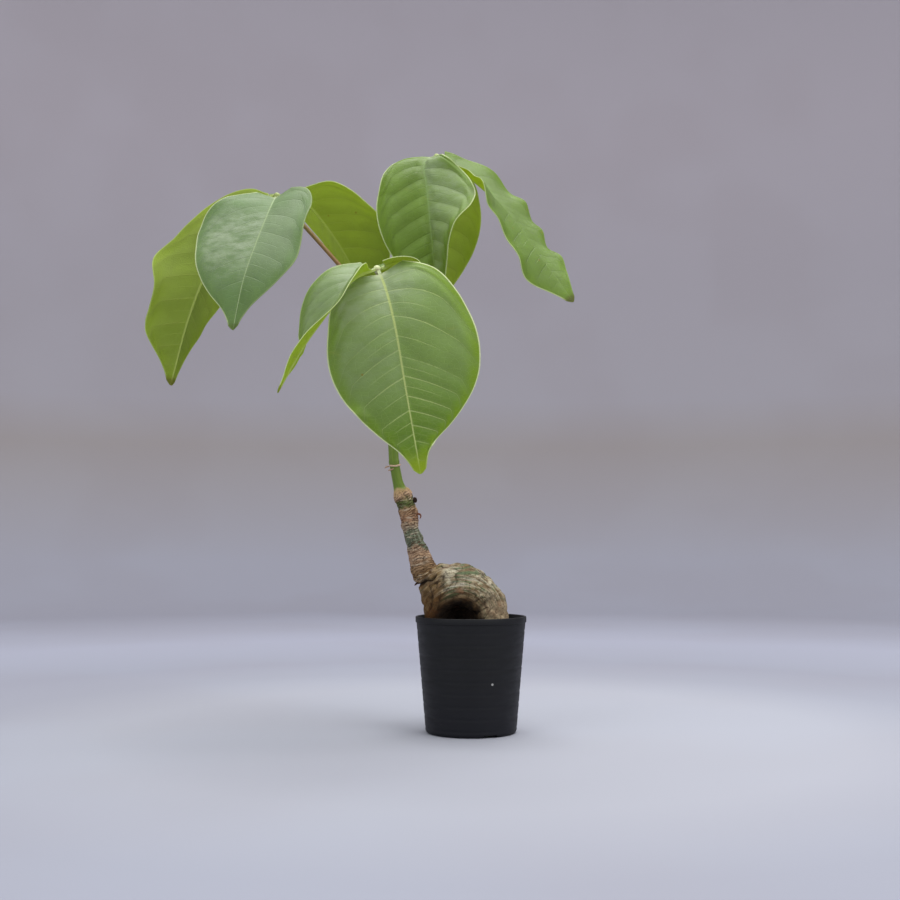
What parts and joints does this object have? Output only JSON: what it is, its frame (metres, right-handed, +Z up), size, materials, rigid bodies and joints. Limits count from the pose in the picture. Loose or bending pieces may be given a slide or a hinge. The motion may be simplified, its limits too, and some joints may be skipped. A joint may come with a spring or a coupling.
{
  "type": "potted shaving brush tree",
  "caption": "Young caudex plant in a small black nursery pot, with a humped woody foot, a slim knobbly stem and large drooping leaflets on long reddish leaf stalks.",
  "frame": {"origin": "middle of the pot's base, on the surface it stands on", "axes": "+Z up, +X to the right of the picture, +Y away from the picture's viewer"},
  "size_m": [0.3577, 0.2693, 0.4853],
  "materials": {
    "pot": "matte black moulded plastic with faint rings",
    "soil": "dark gritty potting mix with pale grains",
    "bark": "rough tan bark with green bands, turning to a smooth green shoot",
    "petiole": "smooth reddish brown leaf stalk",
    "leaf": "satin green leaf with pale veins and a pale rim, paler and yellower underneath"
  },
  "bodies": {
    "root": {"pot": "pot", "soil": "soil", "caudex_and_stem": "bark", "petiole_left": "petiole", "leaflet_left_front": "leaf", "leaflet_left_outer": "leaf", "leaflet_left_back": "leaf", "petiole_front": "petiole", "leaflet_front_front": "leaf", "leaflet_front_left": "leaf", "leaflet_front_back": "leaf", "petiole_top": "petiole", "leaflet_top_front": "leaf", "leaflet_top_right": "leaf", "leaflet_top_back": "leaf"}
  },
  "joints": []
}
